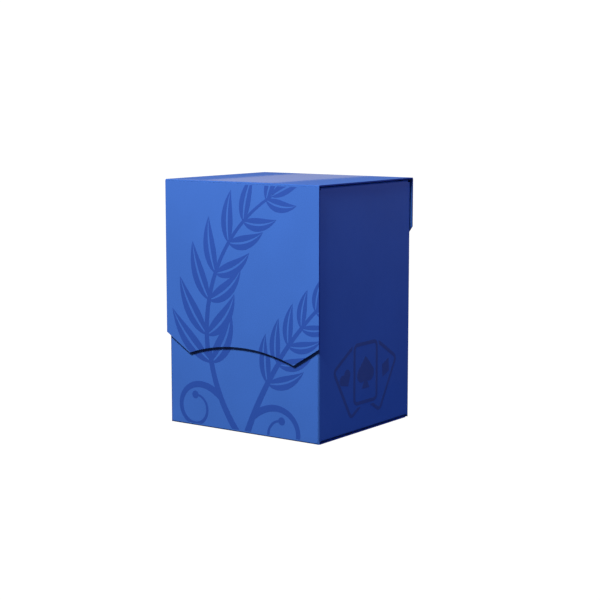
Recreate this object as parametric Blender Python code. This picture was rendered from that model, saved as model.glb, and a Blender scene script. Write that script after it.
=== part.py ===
"""Card deck box, folded from creased polypropylene sheet.

The body is one sheet folded round four walls and a floor. The lid is a wider strap: a short panel fixed
to the back, the top, and a long flap that hangs over the front. A loose divider stands among the cards.
Each panel between two creases is one solid, and so is each crease that turns or closes a corner.

Metres. +Z is up, the front faces -Y, and the origin is at the bottom centre of the whole box.
"""

from math import atan2, cos, pi, sin, sqrt, tan

import bpy
from mathutils import Vector

# ---- body sheet ----------------------------------------------------------------------------------
BODY_WIDTH = 0.0729  # across the outside of the two side panels
BODY_DEPTH = 0.0640  # from the outside of the front panel to the outside of the back panel
BODY_HEIGHT = 0.0971  # from the table to the top of the folded side edges
BODY_SHEET = 0.0006  # thickness of the body sheet
CREASE_INNER_RADIUS = 0.0001  # inside radius of every crease, in the body and in the lid

BOTTOM_EDGE_INSET = 0.0002  # the bottom panel's cut edges stop this far inside the side panels
BOTTOM_GLUE_FLAP_HEIGHT = 0.0140  # how far the bottom panel's glue flap stands up the back
SEAM_GLUE_FLAP_WIDTH = 0.0110  # how far the seam's glue flap runs along the back
GLUE_FLAP_CHAMFER = 0.0030  # cut off the free corners of both glue flaps
BOTTOM_DUST_FLAP_REACH = 0.0280  # how far each bottom dust flap runs in from its side
TOP_DUST_FLAP_REACH = 0.0240  # how far each top dust flap runs in from its side
DUST_FLAP_FRONT_TAPER = 0.0030  # how far a dust flap narrows at the front, from crease to free edge
DUST_FLAP_CORNER = 0.0040  # radius of a dust flap's free corners
TOP_DUST_FLAP_REAR_SLOPE = 0.62  # rear taper for each metre of reach, so that the lid clears the flap
THUMB_NOTCH_RADIUS = 0.0110  # half-round cut in the front panel's top edge, covered by the lid's flap

# ---- lid strap -----------------------------------------------------------------------------------
LID_SHEET = 0.0006  # thickness of the lid strap
LID_OVERHANG = 0.000675  # how far the strap stands out past each side panel
FLAP_STANDOFF = 0.0006  # air between the front flap and the front panel
FLAP_SIDE_DROP = 0.0612  # from the top down to where the flap's side edges end
FLAP_TIP_DROP = 0.0685  # from the top down to the flap's two lowest tips
FLAP_TIP_HALF_SPREAD = 0.0254  # from the middle to each tip
FLAP_ARCH_RISE = 0.0044  # how far the arch between the tips rises at the middle
LID_BACK_SIDE_DROP = 0.0198  # from the top down to where the back panel's side edges end
LID_BACK_DROP = 0.0258  # from the top down to the back panel's lower edge
LID_BACK_CHAMFER = 0.0041  # how far in its lower corners are cut

# ---- divider -------------------------------------------------------------------------------------
DIVIDER_SHEET = 0.0006  # thickness of the divider
DIVIDER_SIDE_CLEARANCE = 0.0006  # from each side panel to the divider
DIVIDER_TOP_CLEARANCE = 0.0015  # from the top dust flaps down to the divider's tab
DIVIDER_TAB_WIDTH = 0.0220
DIVIDER_TAB_HEIGHT = 0.0050
DIVIDER_TAB_INSET = 0.0050  # from the divider's left edge to its tab
DIVIDER_CORNER = 0.0020  # radius of its corners
DIVIDER_REAR_SPACE = 0.0160  # from the glue flaps forward to the divider, as it stands at rest

# ---- clearances ----------------------------------------------------------------------------------
FIT_GAP = 0.0003  # between surfaces that touch
FLAP_CLEARANCE = 0.0006  # between an inner flap's cut edge and the panel beside it

ARC_STEPS = 6  # segments in a quarter of a crease
CORNER_STEPS = 4  # segments in a rounded corner
ARCH_STEPS = 24  # segments in the flap's arch
NOTCH_SEGMENTS = 48
NOTCH_CUTTER_DEPTH = 8 * BODY_SHEET  # so that the cutter passes well through the front panel
PLASTIC_ROUGHNESS = 0.45
JOINT_MARKER_SIZE = 0.01  # how large a joint's empty is drawn

# ---- places worked out from the sizes above ------------------------------------------------------
BOX_DEPTH = LID_SHEET + FLAP_STANDOFF + BODY_DEPTH + FIT_GAP + LID_SHEET
BOX_HEIGHT = BODY_HEIGHT + FIT_GAP + LID_SHEET
LID_WIDTH = BODY_WIDTH + 2 * LID_OVERHANG
LID_FRONT = -BOX_DEPTH / 2
LID_BACK = BOX_DEPTH / 2
BODY_FRONT = LID_FRONT + LID_SHEET + FLAP_STANDOFF
BODY_BACK = BODY_FRONT + BODY_DEPTH
BODY_SIDE = BODY_WIDTH / 2
GLUE_FACE = BODY_BACK - BODY_SHEET - FIT_GAP  # outer face of both glue flaps
BEND_RADIUS = BODY_SHEET + CREASE_INNER_RADIUS  # outer radius of the body's creases
CREASE_REACH = BEND_RADIUS + FIT_GAP  # from a folded edge to where the flat panel starts
LID_BEND_RADIUS = LID_SHEET + CREASE_INNER_RADIUS  # outer radius of the lid's creases
LID_CREASE_REACH = LID_BEND_RADIUS + FIT_GAP
DUST_FLOOR = BODY_SHEET + FIT_GAP  # underside of the bottom dust flaps

# ---- ways an outline can face: its first axis, its second axis and its thickness ------------------
PLAN = (0.0, 0.0, 0.0)  # x, y and z
FRONT_ELEVATION = (pi / 2, 0.0, 0.0)  # x, z and y
SIDE_ELEVATION = (pi / 2, 0.0, pi / 2)  # y, z and x

BODY_BLUE = (0.030, 0.105, 0.430, 1.0)
CREASE_BLUE = (0.040, 0.125, 0.480, 1.0)
LID_BLUE = (0.034, 0.115, 0.460, 1.0)
INNER_BLUE = (0.022, 0.080, 0.350, 1.0)
DIVIDER_BLUE = (0.026, 0.095, 0.400, 1.0)


# ---- scene and materials -------------------------------------------------------------------------
def clear_scene():
    for obj in list(bpy.data.objects):
        bpy.data.objects.remove(obj, do_unlink=True)


def new_collection(name):
    collection = bpy.data.collections.new(name)
    bpy.context.scene.collection.children.link(collection)
    return collection


def plastic(name, colour):
    material = bpy.data.materials.new(name)
    material.use_nodes = True
    shader = material.node_tree.nodes["Principled BSDF"]
    shader.inputs["Base Color"].default_value = colour
    shader.inputs["Roughness"].default_value = PLASTIC_ROUGHNESS
    material.diffuse_color = colour
    return material


def place(obj, name, collection, colour):
    """Names the object, moves it to its collection and gives it a material of its own."""
    obj.name = name
    obj.data.name = name
    for other in list(obj.users_collection):
        other.objects.unlink(obj)
    collection.objects.link(obj)
    obj.data.materials.append(plastic(name + "_plastic", colour))
    return obj


def hinge_at(name, position, collection, parent=None):
    """An empty on a joint's axis, for the pieces that move with it."""
    empty = bpy.data.objects.new(name, None)
    empty.empty_display_size = JOINT_MARKER_SIZE
    empty.location = position
    collection.objects.link(empty)
    if parent is not None:
        hang(empty, parent)
    return empty


def hang(obj, parent):
    """Parents the object and leaves it where it is."""
    bpy.context.view_layer.update()
    obj.parent = parent
    obj.matrix_parent_inverse = parent.matrix_world.inverted()


# ---- outlines ------------------------------------------------------------------------------------
def arc(centre, radius, start, end, steps):
    """Points on a circle from the angle start to the angle end, both in radians."""
    angles = [start + (end - start) * i / steps for i in range(steps + 1)]
    return [(centre[0] + radius * cos(a), centre[1] + radius * sin(a)) for a in angles]


def rounded_corner(before, corner, after, radius):
    """The arc that rounds one corner of an outline, touching the edges on both sides of it."""
    corner = Vector(corner)
    to_before = (Vector(before) - corner).normalized()
    to_after = (Vector(after) - corner).normalized()
    half_angle = to_before.angle(to_after) / 2
    centre = corner + (to_before + to_after).normalized() * (radius / sin(half_angle))
    start = corner + to_before * (radius / tan(half_angle)) - centre
    end = corner + to_after * (radius / tan(half_angle)) - centre
    first = atan2(start.y, start.x)
    turn = (atan2(end.y, end.x) - first + pi) % (2 * pi) - pi
    return arc(centre, radius, first, first + turn, CORNER_STEPS)


def rounded_outline(corners, radii):
    """An outline whose corners are rounded by their own radius. A radius of 0 leaves a corner sharp."""
    outline = []
    for i, (corner, radius) in enumerate(zip(corners, radii)):
        if radius > 0:
            outline += rounded_corner(corners[i - 1], corner, corners[(i + 1) % len(corners)], radius)
        else:
            outline.append(corner)
    return outline


def mirrored(points, side):
    """The points on the side asked for: -1 mirrors them to the left."""
    return [(side * x, y) for x, y in points]


# ---- solids --------------------------------------------------------------------------------------
def sheet_piece(name, outline, facing, middle, thickness, collection, colour):
    """A flat outline given a thickness, centred on its plane at the distance middle."""
    curve = bpy.data.curves.new(name, "CURVE")
    curve.dimensions = "2D"
    curve.fill_mode = "BOTH"
    curve.extrude = thickness / 2
    spline = curve.splines.new("POLY")
    spline.points.add(len(outline) - 1)
    for point, (u, v) in zip(spline.points, outline):
        point.co = (u, v, 0.0, 1.0)
    spline.use_cyclic_u = True
    piece = bpy.data.objects.new(name, curve)
    bpy.context.scene.collection.objects.link(piece)
    piece.rotation_euler = facing
    through = {PLAN: (0, 0, middle), FRONT_ELEVATION: (0, middle, 0), SIDE_ELEVATION: (middle, 0, 0)}
    piece.location = through[facing]
    return place(piece, name, collection, colour)


def panel(name, low, high, collection, colour):
    """A plain flat panel between two opposite corners."""
    bpy.ops.mesh.primitive_cube_add(size=1.0, location=(Vector(low) + Vector(high)) / 2)
    piece = bpy.context.active_object
    piece.scale = Vector(high) - Vector(low)
    bpy.ops.object.transform_apply(location=False, rotation=False, scale=True)
    return place(piece, name, collection, colour)


def crease(name, centre, quarter, facing, ends, sheet, collection):
    """A quarter turn of bent sheet about centre, starting at the angle quarter times 90 degrees."""
    start = quarter * pi / 2
    outer = arc(centre, CREASE_INNER_RADIUS + sheet, start, start + pi / 2, ARC_STEPS)
    inner = arc(centre, CREASE_INNER_RADIUS, start + pi / 2, start, ARC_STEPS)
    middle = (ends[0] + ends[1]) / 2
    return sheet_piece(name, outer + inner, facing, middle, ends[1] - ends[0], collection, CREASE_BLUE)


def cut(piece, cutter):
    """Takes the cutter's shape out of the piece."""
    modifier = piece.modifiers.new("cut_" + cutter.name, "BOOLEAN")
    modifier.operation = "DIFFERENCE"
    modifier.solver = "EXACT"
    modifier.object = cutter


def notch_cutter(name, centre, radius, collection):
    """A round bar along the depth, which cuts a half-round notch where it crosses a panel's edge."""
    bpy.ops.mesh.primitive_cylinder_add(
        vertices=NOTCH_SEGMENTS,
        radius=radius,
        depth=NOTCH_CUTTER_DEPTH,
        location=centre,
        rotation=FRONT_ELEVATION,
    )
    cutter = bpy.context.active_object
    place(cutter, name, collection, INNER_BLUE)
    cutter.hide_render = True
    cutter.display_type = "WIRE"
    return cutter


# ---- body ----------------------------------------------------------------------------------------
def build_walls(parts, cutters):
    flat_half = BODY_SIDE - CREASE_REACH
    front = panel(
        "front_panel",
        (-flat_half, BODY_FRONT, CREASE_REACH),
        (flat_half, BODY_FRONT + BODY_SHEET, BODY_HEIGHT),
        parts,
        BODY_BLUE,
    )
    notch_at = (0.0, BODY_FRONT, BODY_HEIGHT)
    cut(front, notch_cutter("thumb_notch_cutter", notch_at, THUMB_NOTCH_RADIUS, cutters))
    panel(
        "back_panel",
        (-BODY_SIDE, BODY_BACK - BODY_SHEET, 0.0),
        (flat_half, BODY_BACK, BODY_HEIGHT),
        parts,
        BODY_BLUE,
    )
    side_low = DUST_FLOOR + CREASE_REACH
    side_high = BODY_HEIGHT - CREASE_REACH
    side_front = BODY_FRONT + CREASE_REACH
    panel(
        "right_side_panel",
        (BODY_SIDE - BODY_SHEET, side_front, side_low),
        (BODY_SIDE, BODY_BACK - CREASE_REACH, side_high),
        parts,
        BODY_BLUE,
    )
    panel(
        "left_side_panel",
        (-BODY_SIDE, side_front, side_low),
        (-BODY_SIDE + BODY_SHEET, GLUE_FACE - CREASE_REACH, side_high),
        parts,
        BODY_BLUE,
    )


def build_corner_creases(parts):
    x = BODY_SIDE - BEND_RADIUS
    front = BODY_FRONT + BEND_RADIUS
    ends = (DUST_FLOOR, BODY_HEIGHT - CREASE_REACH)
    crease("front_left_crease", (-x, front), 2, PLAN, ends, BODY_SHEET, parts)
    crease("front_right_crease", (x, front), 3, PLAN, ends, BODY_SHEET, parts)
    crease("back_right_crease", (x, BODY_BACK - BEND_RADIUS), 0, PLAN, ends, BODY_SHEET, parts)
    crease("seam_crease", (-x, GLUE_FACE - BEND_RADIUS), 1, PLAN, ends, BODY_SHEET, parts)


def build_glue_flaps(parts):
    inner = GLUE_FACE - BODY_SHEET
    middle = (GLUE_FACE + inner) / 2
    half = BODY_SIDE - CREASE_REACH - FLAP_CLEARANCE
    top = CREASE_REACH + BOTTOM_GLUE_FLAP_HEIGHT
    chamfer = GLUE_FLAP_CHAMFER
    bottom_flap = [
        (-half, CREASE_REACH),
        (half, CREASE_REACH),
        (half, top - chamfer),
        (half - chamfer, top),
        (-half + chamfer, top),
        (-half, top - chamfer),
    ]
    sheet_piece(
        "bottom_glue_flap", bottom_flap, FRONT_ELEVATION, middle, BODY_SHEET, parts, INNER_BLUE
    )
    left = -(BODY_SIDE - CREASE_REACH)
    right = left + SEAM_GLUE_FLAP_WIDTH
    low = top + FLAP_CLEARANCE
    high = BODY_HEIGHT - CREASE_REACH
    seam_flap = [
        (left, low),
        (right - chamfer, low),
        (right, low + chamfer),
        (right, high - chamfer),
        (right - chamfer, high),
        (left, high),
    ]
    sheet_piece("seam_glue_flap", seam_flap, FRONT_ELEVATION, middle, BODY_SHEET, parts, INNER_BLUE)


def build_bottom(parts):
    half = BODY_SIDE - BOTTOM_EDGE_INSET
    panel(
        "bottom_panel",
        (-half, BODY_FRONT + CREASE_REACH, 0.0),
        (half, GLUE_FACE - CREASE_REACH, BODY_SHEET),
        parts,
        BODY_BLUE,
    )
    flat = BODY_SIDE - CREASE_REACH
    front = (BODY_FRONT + BEND_RADIUS, BEND_RADIUS)
    rear = (GLUE_FACE - BEND_RADIUS, BEND_RADIUS)
    crease("bottom_front_crease", front, 2, SIDE_ELEVATION, (-flat, flat), BODY_SHEET, parts)
    flat -= FLAP_CLEARANCE
    crease("bottom_rear_crease", rear, 3, SIDE_ELEVATION, (-flat, flat), BODY_SHEET, parts)


def dust_flap_ends():
    """Where a dust flap's creased edge starts and ends along the depth."""
    return (BODY_FRONT + CREASE_REACH, GLUE_FACE - CREASE_REACH)


def dust_flap_outline(reach, rear_taper):
    """The right-hand flap seen from above: it narrows towards its free edge, where it is rounded."""
    front, rear = dust_flap_ends()
    crease_x = BODY_SIDE - CREASE_REACH
    free_x = crease_x - reach
    corners = [
        (crease_x, front),
        (crease_x, rear),
        (free_x, rear - rear_taper),
        (free_x, front + DUST_FLAP_FRONT_TAPER),
    ]
    return rounded_outline(corners, (0, 0, DUST_FLAP_CORNER, DUST_FLAP_CORNER))


def build_dust_flaps(side_name, side, parts, dust_hinge):
    ends = dust_flap_ends()
    crease_x = side * (BODY_SIDE - BEND_RADIUS)

    outline = mirrored(dust_flap_outline(BOTTOM_DUST_FLAP_REACH, DUST_FLAP_FRONT_TAPER), side)
    middle = DUST_FLOOR + BODY_SHEET / 2
    sheet_piece(
        "bottom_dust_flap_" + side_name, outline, PLAN, middle, BODY_SHEET, parts, INNER_BLUE
    )
    quarter = 3 if side > 0 else 2
    centre = (crease_x, DUST_FLOOR + BEND_RADIUS)
    crease("bottom_crease_" + side_name, centre, quarter, FRONT_ELEVATION, ends, BODY_SHEET, parts)

    rear_taper = TOP_DUST_FLAP_REACH * TOP_DUST_FLAP_REAR_SLOPE
    outline = mirrored(dust_flap_outline(TOP_DUST_FLAP_REACH, rear_taper), side)
    middle = BODY_HEIGHT - BODY_SHEET / 2
    flap = sheet_piece(
        "top_dust_flap_" + side_name, outline, PLAN, middle, BODY_SHEET, parts, INNER_BLUE
    )
    hang(flap, dust_hinge)
    quarter = 0 if side > 0 else 1
    centre = (crease_x, BODY_HEIGHT - BEND_RADIUS)
    crease("top_crease_" + side_name, centre, quarter, FRONT_ELEVATION, ends, BODY_SHEET, parts)


# ---- lid -----------------------------------------------------------------------------------------
def front_flap_outline():
    """Side edges, two slanted corners down to the tips, and a shallow arch between the tips."""
    half = LID_WIDTH / 2
    tip = FLAP_TIP_HALF_SPREAD
    tip_z = BOX_HEIGHT - FLAP_TIP_DROP
    radius = (tip**2 + FLAP_ARCH_RISE**2) / (2 * FLAP_ARCH_RISE)
    centre = (0.0, tip_z + FLAP_ARCH_RISE - radius)
    tip_angle = atan2(sqrt(radius**2 - tip**2), tip)
    arch = arc(centre, radius, tip_angle, pi - tip_angle, ARCH_STEPS)
    top = BOX_HEIGHT - LID_CREASE_REACH
    side_z = BOX_HEIGHT - FLAP_SIDE_DROP
    return [(half, top), (half, side_z)] + arch + [(-half, side_z), (-half, top)]


def back_panel_outline():
    half = LID_WIDTH / 2
    top = BOX_HEIGHT - LID_CREASE_REACH
    side_z = BOX_HEIGHT - LID_BACK_SIDE_DROP
    low = BOX_HEIGHT - LID_BACK_DROP
    inner = half - LID_BACK_CHAMFER
    return [(half, top), (half, side_z), (inner, low), (-inner, low), (-half, side_z), (-half, top)]


def build_lid(parts, lid_hinge, flap_hinge):
    half = LID_WIDTH / 2
    back_middle = LID_BACK - LID_SHEET / 2
    sheet_piece(
        "lid_back_panel", back_panel_outline(), FRONT_ELEVATION, back_middle, LID_SHEET, parts, LID_BLUE
    )
    crease_z = BOX_HEIGHT - LID_BEND_RADIUS
    back = (LID_BACK - LID_BEND_RADIUS, crease_z)
    crease("lid_back_crease", back, 0, SIDE_ELEVATION, (-half, half), LID_SHEET, parts)
    top = panel(
        "lid_top_panel",
        (-half, LID_FRONT + LID_CREASE_REACH, BOX_HEIGHT - LID_SHEET),
        (half, LID_BACK - LID_CREASE_REACH, BOX_HEIGHT),
        parts,
        LID_BLUE,
    )
    hang(top, lid_hinge)
    front = (LID_FRONT + LID_BEND_RADIUS, crease_z)
    bend = crease("lid_front_crease", front, 1, SIDE_ELEVATION, (-half, half), LID_SHEET, parts)
    hang(bend, lid_hinge)
    front_middle = LID_FRONT + LID_SHEET / 2
    flap = sheet_piece(
        "lid_front_flap", front_flap_outline(), FRONT_ELEVATION, front_middle, LID_SHEET, parts, LID_BLUE
    )
    hang(flap, flap_hinge)


# ---- divider -------------------------------------------------------------------------------------
def divider_outline():
    """A rectangle with rounded corners and one index tab at the left of its top edge."""
    half = BODY_SIDE - BODY_SHEET - DIVIDER_SIDE_CLEARANCE
    low = DUST_FLOOR + BODY_SHEET + FIT_GAP
    tab_top = BODY_HEIGHT - BODY_SHEET - DIVIDER_TOP_CLEARANCE
    shoulder = tab_top - DIVIDER_TAB_HEIGHT
    tab_left = -half + DIVIDER_TAB_INSET
    tab_right = tab_left + DIVIDER_TAB_WIDTH
    corners = [
        (-half, low),
        (half, low),
        (half, shoulder),
        (tab_right, shoulder),
        (tab_right, tab_top),
        (tab_left, tab_top),
        (tab_left, shoulder),
        (-half, shoulder),
    ]
    return rounded_outline(corners, (DIVIDER_CORNER,) * len(corners))


def build_divider(parts, slide):
    middle = divider_position()
    divider = sheet_piece(
        "card_divider", divider_outline(), FRONT_ELEVATION, middle, DIVIDER_SHEET, parts, DIVIDER_BLUE
    )
    hang(divider, slide)


def divider_position():
    return GLUE_FACE - BODY_SHEET - DIVIDER_REAR_SPACE - DIVIDER_SHEET / 2


def main():
    clear_scene()
    parts = new_collection("card_deck_box")
    cutters = new_collection("cutters")
    lid_hinge = hinge_at("lid_hinge", (0.0, LID_BACK, BOX_HEIGHT), parts)
    flap_hinge = hinge_at("flap_hinge", (0.0, LID_FRONT, BOX_HEIGHT), parts, lid_hinge)
    divider_slide = hinge_at("divider_slide", (0.0, divider_position(), 0.0), parts)
    build_walls(parts, cutters)
    build_corner_creases(parts)
    build_glue_flaps(parts)
    build_bottom(parts)
    for side_name, side in (("left", -1), ("right", 1)):
        dust_hinge = hinge_at("dust_hinge_" + side_name, (side * BODY_SIDE, 0.0, BODY_HEIGHT), parts)
        build_dust_flaps(side_name, side, parts, dust_hinge)
    build_lid(parts, lid_hinge, flap_hinge)
    build_divider(parts, divider_slide)


main()
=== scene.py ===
"""A card deck box folded from creased plastic sheet, dressed and lit in a plain studio.

The body is one sheet folded round four walls and a floor, the lid is a wider strap with a long front flap,
and a loose divider stands inside. Each folded sheet is cut flat first, as an outline along and across the
sheet, and is then folded round its creases, so its grain follows the folds.

Metres. The box stands on z = 0 and its front faces -Y.
"""

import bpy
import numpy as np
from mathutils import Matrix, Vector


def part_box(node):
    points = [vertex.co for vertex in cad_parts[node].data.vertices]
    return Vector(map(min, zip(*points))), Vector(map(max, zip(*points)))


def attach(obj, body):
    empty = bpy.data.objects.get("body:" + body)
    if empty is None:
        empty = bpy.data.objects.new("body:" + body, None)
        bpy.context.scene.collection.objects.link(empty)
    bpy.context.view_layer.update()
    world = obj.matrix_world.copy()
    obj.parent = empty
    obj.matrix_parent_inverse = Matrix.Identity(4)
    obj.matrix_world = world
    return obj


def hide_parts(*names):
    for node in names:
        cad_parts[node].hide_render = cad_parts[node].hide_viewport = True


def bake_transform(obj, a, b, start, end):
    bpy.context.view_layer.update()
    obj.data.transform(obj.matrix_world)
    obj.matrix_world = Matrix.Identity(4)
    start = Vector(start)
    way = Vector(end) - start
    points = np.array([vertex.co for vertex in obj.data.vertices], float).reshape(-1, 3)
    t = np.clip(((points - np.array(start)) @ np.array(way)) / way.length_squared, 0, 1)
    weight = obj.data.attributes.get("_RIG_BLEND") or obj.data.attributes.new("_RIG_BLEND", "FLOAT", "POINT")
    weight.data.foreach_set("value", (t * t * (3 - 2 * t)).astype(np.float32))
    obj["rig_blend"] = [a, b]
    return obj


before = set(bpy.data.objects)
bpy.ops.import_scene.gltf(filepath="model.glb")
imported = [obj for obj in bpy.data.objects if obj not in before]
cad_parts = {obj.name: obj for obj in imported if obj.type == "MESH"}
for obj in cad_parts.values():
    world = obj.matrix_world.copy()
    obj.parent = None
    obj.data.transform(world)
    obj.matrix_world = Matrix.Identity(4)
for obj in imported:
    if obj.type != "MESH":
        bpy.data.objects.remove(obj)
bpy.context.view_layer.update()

import logging
from bisect import bisect_right
from dataclasses import dataclass, field
from enum import Enum
from math import asin, atan2, cos, log, pi, radians, sin, sqrt, tan
from typing import Callable, Sequence

import bmesh
import bpy
from mathutils import Matrix, Vector
from mathutils.geometry import delaunay_2d_cdt

report = logging.getLogger("deck_box")

Point = tuple[float, float]
Place = tuple[float, float, float]
Colour = tuple[float, float, float]
Placer = Callable[[float, float, float], Vector]  # puts a flat point at a depth into space
Socket = bpy.types.NodeSocket
Piece = bpy.types.Object

MM = 0.001
PATTERN_MAP = "pattern"  # the UV map that holds each sheet's flat coordinates, in metres
CREASE_MASK = "crease"  # the mesh attribute that is 1 in the creases
FACES, RIM = 0, 1  # the material numbers of a sheet's two faces and of its cut edge
PRINT_RECESS = 0.03 * MM  # how far printed sheets lie under the frame's faces, to leave room for ink
LAP = 2.0 * MM  # the run of flat panel that a separately folded piece carries before its crease

TOUCH = 0.001 * MM  # a point this near to a crease's end isn't in the crease
AHEAD = 1e-9  # added to a distance, so that a point on a station counts as past it
MERGE = 1e-6  # flat points nearer than this, in millimetres, are one
SHORTEST = 0.02 * MM  # the shortest side in the outline of a drawn line
SHARP_EDGE = radians(35)  # faces that meet at more than this have a sharp edge
EVENNESS = 80  # how far large faces rule the normals
PLASTIC_IOR = 1.49
DARK, BRIGHT = 0.3, 0.7  # where noise mostly lies


# ---- directions and kinds ----
class Plane(Enum):
    """The plane in which a fold is seen end on: where its first, second and across axes go."""

    PLAN = (0, 1, 2)  # x, y, and z across
    SIDE = (1, 2, 0)  # y, z, and x across
    FRONT = (0, 2, 1)  # x, z, and y across


class Ink(Enum):
    """What one shape of a print does to the shapes drawn before it."""

    LAID = True
    CLEARED = False


class Side(Enum):
    """A side of the box, with the sign of x there."""

    LEFT = -1
    RIGHT = 1

    @property
    def label(self) -> str:
        """The side's name in a piece's name."""
        return self.name.lower()
class Edge(Enum):
    """The edge that a dust flap folds from, with the sign of z from there into the side panel."""

    BOTTOM = 1
    TOP = -1


class Suit(Enum):
    """A card suit's mark, with the sign of its height at its point."""

    HEART = -1
    DIAMOND = 0
    SPADE = 1

# ---- node trees ----
class Nodes:
    """A short way to add nodes to one node tree and link them."""

    def __init__(self, owner: bpy.types.Material | bpy.types.World) -> None:
        """Clears the owner's tree and keeps it.

        Args:
            owner: the material or world to fill.
        """
        owner.use_nodes = True
        self.tree = owner.node_tree
        self.tree.nodes.clear()

    def add(self, kind: str, inputs: dict | None = None, **settings) -> bpy.types.Node:
        """Adds a node.

        Args:
            kind: the node's type, without its ShaderNode prefix.
            inputs: a value or an output socket for each input, by name or number.
            settings: the node's own properties.

        Returns:
            The new node.
        """
        node = self.tree.nodes.new("ShaderNode" + kind)
        for name, value in settings.items():
            setattr(node, name, value)
        for key, value in (inputs or {}).items():
            if isinstance(value, Socket):
                self.tree.links.new(value, node.inputs[key])
            else:
                node.inputs[key].default_value = value
        return node

    def flat_coordinates(self) -> Socket:
        """The sheet's flat coordinates in millimetres."""
        return self.scaled(self.add("UVMap", uv_map=PATTERN_MAP).outputs["UV"], 1 / MM)

    def noise(self, place: Socket, per_mm: float, detail: float) -> Socket:
        """Soft noise from 0 to 1, with per_mm features in a millimetre and finer layers on them."""
        inputs = {"Vector": place, "Scale": per_mm, "Detail": detail}
        return self.add("TexNoise", inputs, noise_dimensions="2D").outputs["Fac"]

    def spread(self, value: Socket, low: float, high: float) -> Socket:
        """A value from DARK to BRIGHT, stretched from low to high."""
        inputs = {"Value": value, "From Min": DARK, "From Max": BRIGHT, "To Min": low, "To Max": high}
        return self.add("MapRange", inputs, clamp=True).outputs["Result"]

    def scaled(self, vector: Colour | Socket, share: float | Socket) -> Socket:
        """A colour or other vector times a share."""
        return self.add("VectorMath", {0: vector, "Scale": share}, operation="SCALE").outputs["Vector"]

    def product(self, first: Socket, second: Socket) -> Socket:
        """One value times another."""
        return self.add("Math", {0: first, 1: second}, operation="MULTIPLY").outputs["Value"]

    def bump(self, height: Socket, strength: float, depth: float) -> Socket:
        """The normal of a surface that stands up with a value."""
        inputs = {"Strength": strength, "Distance": depth, "Height": height}
        return self.add("Bump", inputs).outputs["Normal"]


@dataclass(frozen=True)
class Finish:
    """The procedural finish of a plastic of one colour.

    Attributes:
        name: the material's name.
        colour: the pigment, as linear red, green and blue.
    """

    name: str
    colour: Colour

    def inputs(self, nodes: Nodes) -> dict[str, float | Socket]:
        """The shader's inputs, which each kind of finish works out."""
        raise NotImplementedError

    def make(self) -> bpy.types.Material:
        """Builds the material.

        Returns:
            The new material.
        """
        material = bpy.data.materials.new(self.name)
        nodes = Nodes(material)
        shader = nodes.add("BsdfPrincipled", {"IOR": PLASTIC_IOR, **self.inputs(nodes)})
        nodes.add("OutputMaterial", {"Surface": shader.outputs["BSDF"]})
        material.diffuse_color = (*self.colour, 1.0)
        return material


@dataclass(frozen=True)
class SheetFinish(Finish):
    """Satin polypropylene sheet, with a fine moulded grain, slightly uneven pigment and painted shade in its
    creases.

    Attributes:
        roughness: the middle of its satin.
        grain: how strongly its grain shows.
        coat: how much of a clear skin it has, which gives the sharp low-angle reflections.
        coat_roughness: how blurred that skin is.
        crease_shade: painted shade in a crease: how bright the colour is painted there against the flats, to
            hold down the extra key light that the rounded fold catches.
        specular: how strongly the pigmented plastic under the skin reflects.
        unevenness: how far the satin's roughness goes up and down.
        depth: how deep the grain is.
    """

    roughness: float = 0.46
    grain: float = 0.10
    coat: float = 0.5
    coat_roughness: float = 0.015
    crease_shade: float = 0.74
    specular: float = 0.2
    unevenness: float = 0.03
    depth: float = 0.02 * MM

    def inputs(self, nodes: Nodes) -> dict[str, float | Socket]:
        """The shader's inputs.

        Args:
            nodes: the material's nodes.

        Returns:
            A value or a socket for each input.
        """
        place = nodes.flat_coordinates()
        cloud = nodes.spread(nodes.noise(place, 0.045, 2.0), 0.975, 1.025)
        speck = nodes.spread(nodes.noise(place, 2.6, 2.0), 0.95, 1.05)
        # painted shade: the colour is painted darker in the creases, to hold down the extra key light that
        # the rounded folds catch
        crease = nodes.add("Attribute", attribute_name=CREASE_MASK).outputs["Fac"]
        shade = nodes.spread(crease, 1.0, self.crease_shade)
        satin, pebble = nodes.noise(place, 0.35, 3.0), nodes.noise(place, 3.2, 1.0)
        low, high = self.roughness - self.unevenness, self.roughness + self.unevenness
        return {
            "Base Color": nodes.scaled(self.colour, nodes.product(nodes.product(cloud, speck), shade)),
            "Roughness": nodes.spread(satin, low, high),
            "Normal": nodes.bump(pebble, self.grain, self.depth),
            "Specular IOR Level": self.specular,
            "Coat Weight": self.coat,
            "Coat Roughness": self.coat_roughness,
            "Coat IOR": PLASTIC_IOR,
        }


@dataclass(frozen=True)
class CutEdgeFinish(Finish):
    """The sheet's die-cut edge: duller and darker than its faces, with fine drag lines from the knife; its
    darkness is partly painted shade, for the dark gaps that run along the edges.

    Attributes:
        roughness: how dull it is.
        drag_strength: how strongly the drag lines show.
        drag_depth: how deep they are.
    """

    roughness: float = 0.62
    drag_strength: float = 0.25
    drag_depth: float = 0.03 * MM

    def inputs(self, nodes: Nodes) -> dict[str, float | Socket]:
        """The shader's inputs.

        Args:
            nodes: the material's nodes.

        Returns:
            A value or a socket for each input.
        """
        drag = nodes.noise(nodes.flat_coordinates(), 4.0, 2.0)
        return {
            "Base Color": nodes.scaled(self.colour, nodes.spread(drag, 0.85, 1.15)),
            "Roughness": self.roughness,
            "Normal": nodes.bump(drag, self.drag_strength, self.drag_depth),
        }


BODY_BLUE: Colour = (0.039, 0.121, 0.456)
PRINT_BLUE: Colour = (0.0215, 0.067, 0.332)
EMBLEM_BLUE: Colour = (0.044, 0.088, 0.300)
# the cut edge's colour: darker than the faces, partly painted shade for the dark gaps along the edges
EDGE_BLUE_AND_SHADE: Colour = (0.016, 0.046, 0.300)

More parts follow.
